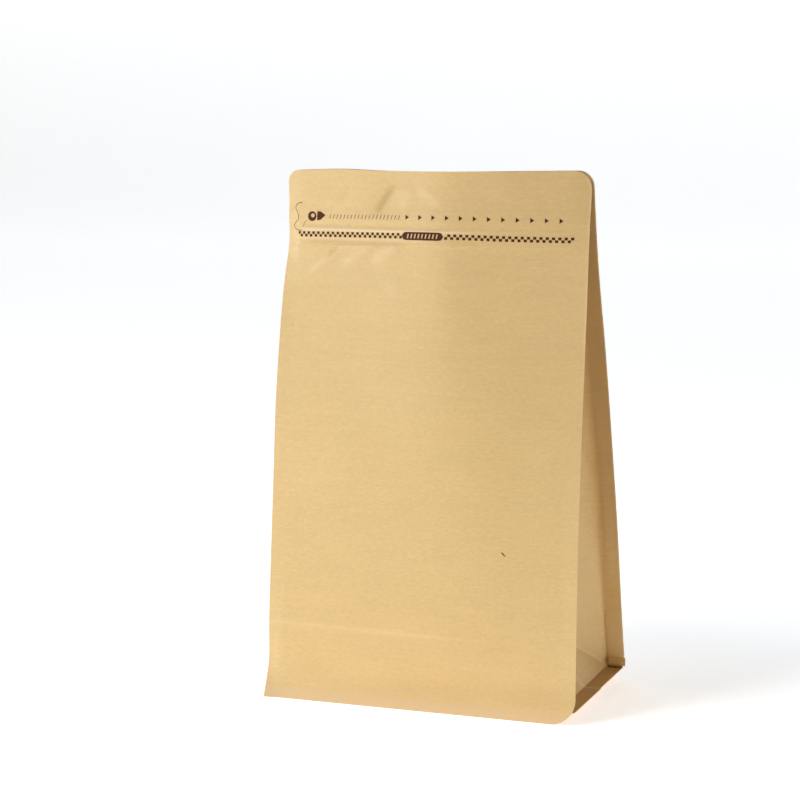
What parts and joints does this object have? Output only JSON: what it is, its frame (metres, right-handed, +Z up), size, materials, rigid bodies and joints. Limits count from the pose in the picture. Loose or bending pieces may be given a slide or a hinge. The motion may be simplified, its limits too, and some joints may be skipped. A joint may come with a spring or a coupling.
{
  "type": "kraft stand-up pouch",
  "caption": "Flat-bottom kraft paper pouch with inward side folds, sealed side fins, a tear strip and a zip under a shut mouth.",
  "frame": {"origin": "middle of the base at the height of the surface it stands on", "axes": "+Z up to the mouth, +X across the front to the right as seen from the front, +Y from the front panel to the back panel"},
  "size_m": [0.1301, 0.07, 0.2073],
  "materials": {
    "kraft_paper": "uncoated brown kraft paper laminated to a plastic film, matt, with faint horizontal laid lines, small fibres and dark brown print"
  },
  "bodies": {
    "root": {"pouch": "kraft_paper"}
  },
  "joints": []
}
